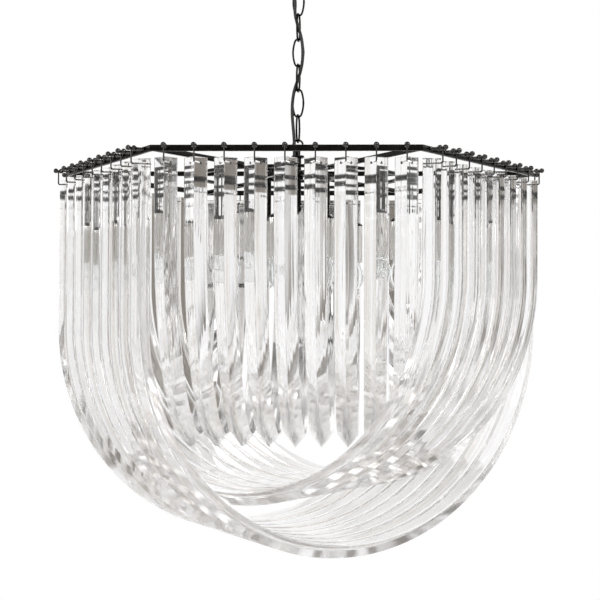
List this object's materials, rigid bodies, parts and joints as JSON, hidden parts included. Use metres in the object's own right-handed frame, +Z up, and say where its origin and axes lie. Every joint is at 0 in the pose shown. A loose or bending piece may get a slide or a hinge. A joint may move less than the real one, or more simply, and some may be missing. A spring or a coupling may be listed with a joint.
{
  "type": "chandelier",
  "caption": "Hexagonal pendant chandelier on a chain: nested bands of U-bent clear three-sided rods hang from a dark flat-bar frame round a ring of lamps.",
  "frame": {"origin": "centre of the ceiling strap's screw pattern, on its top face against the ceiling", "axes": "+Z up towards the ceiling, +X to the viewer's right along the front side of the hexagon, +Y away from the viewer"},
  "size_m": [0.8338, 0.7562, 1.0303],
  "materials": {
    "clear_acrylic": "clear polished acrylic rod",
    "dark_nickel": "near-black bronze finish, satin",
    "hanger_steel": "dark polished steel wire",
    "zinc_steel": "zinc plated",
    "black_rubber": "smooth black sheath",
    "white_plastic": "moulded",
    "holder_ceramic": "glazed",
    "polished_sleeve": "mirror polished",
    "bulb_brass": "nickel plated screw cap",
    "bulb_glass": "clear"
  },
  "bodies": {
    "ceiling_fitting": {"canopy": "dark_nickel", "canopy_crossbar": "zinc_steel", "canopy_lock_nut": "zinc_steel", "canopy_collar": "dark_nickel", "canopy_loop": "dark_nickel", "cable_gland": "black_rubber", "terminal_block": "white_plastic", "supply_cable": "black_rubber"},
    "link_1": {"chain_link_1": "dark_nickel"},
    "link_2": {"chain_link_2": "dark_nickel"},
    "link_3": {"chain_link_3": "dark_nickel"},
    "link_4": {"chain_link_4": "dark_nickel"},
    "link_5": {"chain_link_5": "dark_nickel"},
    "link_6": {"chain_link_6": "dark_nickel"},
    "fixture": {"bulb_caps": "bulb_brass", "bulb_glasses": "bulb_glass", "frame_ring": "dark_nickel", "frame_spokes": "dark_nickel", "hangers_inner": "hanger_steel", "hangers_middle": "hanger_steel", "hangers_outer": "hanger_steel", "hub_column": "dark_nickel", "hub_disc": "dark_nickel", "hub_finial": "dark_nickel", "hub_loop": "dark_nickel", "hub_nut": "dark_nickel", "lamp_caps": "dark_nickel", "lamp_drop_tubes": "dark_nickel", "lamp_ring_inner": "dark_nickel", "lamp_ring_outer": "dark_nickel", "lamp_sleeves": "polished_sleeve", "lampholders": "holder_ceramic"},
    "rod_outer_1": {"rod_outer_1": "clear_acrylic"},
    "rod_outer_2": {"rod_outer_2": "clear_acrylic"},
    "rod_outer_3": {"rod_outer_3": "clear_acrylic"},
    "rod_outer_4": {"rod_outer_4": "clear_acrylic"},
    "rod_outer_5": {"rod_outer_5": "clear_acrylic"},
    "rod_outer_6": {"rod_outer_6": "clear_acrylic"},
    "rod_outer_7": {"rod_outer_7": "clear_acrylic"},
    "rod_outer_8": {"rod_outer_8": "clear_acrylic"},
    "rod_outer_9": {"rod_outer_9": "clear_acrylic"},
    "rod_middle_1": {"rod_middle_1": "clear_acrylic"},
    "rod_middle_2": {"rod_middle_2": "clear_acrylic"},
    "rod_middle_3": {"rod_middle_3": "clear_acrylic"},
    "rod_middle_4": {"rod_middle_4": "clear_acrylic"},
    "rod_middle_5": {"rod_middle_5": "clear_acrylic"},
    "rod_middle_6": {"rod_middle_6": "clear_acrylic"},
    "rod_middle_7": {"rod_middle_7": "clear_acrylic"},
    "rod_middle_8": {"rod_middle_8": "clear_acrylic"},
    "rod_middle_9": {"rod_middle_9": "clear_acrylic"},
    "rod_inner_1": {"rod_inner_1": "clear_acrylic"},
    "rod_inner_2": {"rod_inner_2": "clear_acrylic"},
    "rod_inner_3": {"rod_inner_3": "clear_acrylic"},
    "rod_inner_4": {"rod_inner_4": "clear_acrylic"},
    "rod_inner_5": {"rod_inner_5": "clear_acrylic"},
    "rod_inner_6": {"rod_inner_6": "clear_acrylic"},
    "rod_inner_7": {"rod_inner_7": "clear_acrylic"},
    "rod_inner_8": {"rod_inner_8": "clear_acrylic"},
    "rod_inner_9": {"rod_inner_9": "clear_acrylic"}
  },
  "joints": [
    {"name": "chain_swing_1", "type": "hinge", "parent": "ceiling_fitting", "child": "link_1", "pos_m": [0, 0, -0.0819], "axis": [0.225, 0.9744, 0], "range_deg": [-12, 12], "deforming": ["supply_cable"]},
    {"name": "chain_swing_2", "type": "hinge", "parent": "link_1", "child": "link_2", "pos_m": [0, 0, -0.1253], "axis": [0.9744, -0.225, 0], "range_deg": [-12, 12], "deforming": ["supply_cable"]},
    {"name": "chain_swing_3", "type": "hinge", "parent": "link_2", "child": "link_3", "pos_m": [0, 0, -0.169], "axis": [0.225, 0.9744, 0], "range_deg": [-12, 12], "deforming": ["supply_cable"]},
    {"name": "chain_swing_4", "type": "hinge", "parent": "link_3", "child": "link_4", "pos_m": [0, 0, -0.2127], "axis": [0.9744, -0.225, 0], "range_deg": [-12, 12], "deforming": ["supply_cable"]},
    {"name": "chain_swing_5", "type": "hinge", "parent": "link_4", "child": "link_5", "pos_m": [0, 0, -0.2564], "axis": [0.225, 0.9744, 0], "range_deg": [-12, 12], "deforming": ["supply_cable"]},
    {"name": "chain_swing_6", "type": "hinge", "parent": "link_5", "child": "link_6", "pos_m": [0, 0, -0.3001], "axis": [0.9744, -0.225, 0], "range_deg": [-12, 12], "deforming": ["supply_cable"]},
    {"name": "chain_swing_7", "type": "hinge", "parent": "link_6", "child": "fixture", "pos_m": [0, 0, -0.3438], "axis": [0.225, 0.9744, 0], "range_deg": [-12, 12], "deforming": ["supply_cable"]},
    {"name": "rod_outer_1_sway", "type": "hinge", "parent": "fixture", "child": "rod_outer_1", "pos_m": [0.08889, -0.15396, -0.4195], "axis": [0.866, 0.5, 0], "range_deg": [-0.35, 0.35]},
    {"name": "rod_outer_2_sway", "type": "hinge", "parent": "fixture", "child": "rod_outer_2", "pos_m": [0.06667, -0.11547, -0.4195], "axis": [0.866, 0.5, 0], "range_deg": [-0.35, 0.35]},
    {"name": "rod_outer_3_sway", "type": "hinge", "parent": "fixture", "child": "rod_outer_3", "pos_m": [0.04444, -0.07698, -0.4195], "axis": [0.866, 0.5, 0], "range_deg": [-0.35, 0.35]},
    {"name": "rod_outer_4_sway", "type": "hinge", "parent": "fixture", "child": "rod_outer_4", "pos_m": [0.02222, -0.03849, -0.4195], "axis": [0.866, 0.5, 0], "range_deg": [-0.35, 0.35]},
    {"name": "rod_outer_5_sway", "type": "hinge", "parent": "fixture", "child": "rod_outer_5", "pos_m": [0, 0, -0.4195], "axis": [0.866, 0.5, 0], "range_deg": [-0.35, 0.35]},
    {"name": "rod_outer_6_sway", "type": "hinge", "parent": "fixture", "child": "rod_outer_6", "pos_m": [-0.02222, 0.03849, -0.4195], "axis": [0.866, 0.5, 0], "range_deg": [-0.35, 0.35]},
    {"name": "rod_outer_7_sway", "type": "hinge", "parent": "fixture", "child": "rod_outer_7", "pos_m": [-0.04444, 0.07698, -0.4195], "axis": [0.866, 0.5, 0], "range_deg": [-0.35, 0.35]},
    {"name": "rod_outer_8_sway", "type": "hinge", "parent": "fixture", "child": "rod_outer_8", "pos_m": [-0.06667, 0.11547, -0.4195], "axis": [0.866, 0.5, 0], "range_deg": [-0.35, 0.35]},
    {"name": "rod_outer_9_sway", "type": "hinge", "parent": "fixture", "child": "rod_outer_9", "pos_m": [-0.08889, 0.15396, -0.4195], "axis": [0.866, 0.5, 0], "range_deg": [-0.35, 0.35]},
    {"name": "rod_middle_1_sway", "type": "hinge", "parent": "fixture", "child": "rod_middle_1", "pos_m": [-0.08889, -0.15396, -0.4195], "axis": [0.866, -0.5, 0], "range_deg": [-0.4, 0.4]},
    {"name": "rod_middle_2_sway", "type": "hinge", "parent": "fixture", "child": "rod_middle_2", "pos_m": [-0.06667, -0.11547, -0.4195], "axis": [0.866, -0.5, 0], "range_deg": [-0.4, 0.4]},
    {"name": "rod_middle_3_sway", "type": "hinge", "parent": "fixture", "child": "rod_middle_3", "pos_m": [-0.04444, -0.07698, -0.4195], "axis": [0.866, -0.5, 0], "range_deg": [-0.4, 0.4]},
    {"name": "rod_middle_4_sway", "type": "hinge", "parent": "fixture", "child": "rod_middle_4", "pos_m": [-0.02222, -0.03849, -0.4195], "axis": [0.866, -0.5, 0], "range_deg": [-0.4, 0.4]},
    {"name": "rod_middle_5_sway", "type": "hinge", "parent": "fixture", "child": "rod_middle_5", "pos_m": [0, 0, -0.4195], "axis": [0.866, -0.5, 0], "range_deg": [-0.4, 0.4]},
    {"name": "rod_middle_6_sway", "type": "hinge", "parent": "fixture", "child": "rod_middle_6", "pos_m": [0.02222, 0.03849, -0.4195], "axis": [0.866, -0.5, 0], "range_deg": [-0.4, 0.4]},
    {"name": "rod_middle_7_sway", "type": "hinge", "parent": "fixture", "child": "rod_middle_7", "pos_m": [0.04444, 0.07698, -0.4195], "axis": [0.866, -0.5, 0], "range_deg": [-0.4, 0.4]},
    {"name": "rod_middle_8_sway", "type": "hinge", "parent": "fixture", "child": "rod_middle_8", "pos_m": [0.06667, 0.11547, -0.4195], "axis": [0.866, -0.5, 0], "range_deg": [-0.4, 0.4]},
    {"name": "rod_middle_9_sway", "type": "hinge", "parent": "fixture", "child": "rod_middle_9", "pos_m": [0.08889, 0.15396, -0.4195], "axis": [0.866, -0.5, 0], "range_deg": [-0.4, 0.4]},
    {"name": "rod_inner_1_sway", "type": "hinge", "parent": "fixture", "child": "rod_inner_1", "pos_m": [0.17778, 0, -0.4195], "axis": [0, 1, 0], "range_deg": [-0.45, 0.45]},
    {"name": "rod_inner_2_sway", "type": "hinge", "parent": "fixture", "child": "rod_inner_2", "pos_m": [0.13333, 0, -0.4195], "axis": [0, 1, 0], "range_deg": [-0.45, 0.45]},
    {"name": "rod_inner_3_sway", "type": "hinge", "parent": "fixture", "child": "rod_inner_3", "pos_m": [0.08889, 0, -0.4195], "axis": [0, 1, 0], "range_deg": [-0.45, 0.45]},
    {"name": "rod_inner_4_sway", "type": "hinge", "parent": "fixture", "child": "rod_inner_4", "pos_m": [0.04444, 0, -0.4195], "axis": [0, 1, 0], "range_deg": [-0.45, 0.45]},
    {"name": "rod_inner_5_sway", "type": "hinge", "parent": "fixture", "child": "rod_inner_5", "pos_m": [0, 0, -0.4195], "axis": [0, 1, 0], "range_deg": [-0.45, 0.45]},
    {"name": "rod_inner_6_sway", "type": "hinge", "parent": "fixture", "child": "rod_inner_6", "pos_m": [-0.04444, 0, -0.4195], "axis": [0, 1, 0], "range_deg": [-0.45, 0.45]},
    {"name": "rod_inner_7_sway", "type": "hinge", "parent": "fixture", "child": "rod_inner_7", "pos_m": [-0.08889, 0, -0.4195], "axis": [0, 1, 0], "range_deg": [-0.45, 0.45]},
    {"name": "rod_inner_8_sway", "type": "hinge", "parent": "fixture", "child": "rod_inner_8", "pos_m": [-0.13333, 0, -0.4195], "axis": [0, 1, 0], "range_deg": [-0.45, 0.45]},
    {"name": "rod_inner_9_sway", "type": "hinge", "parent": "fixture", "child": "rod_inner_9", "pos_m": [-0.17778, 0, -0.4195], "axis": [0, 1, 0], "range_deg": [-0.45, 0.45]}
  ]
}
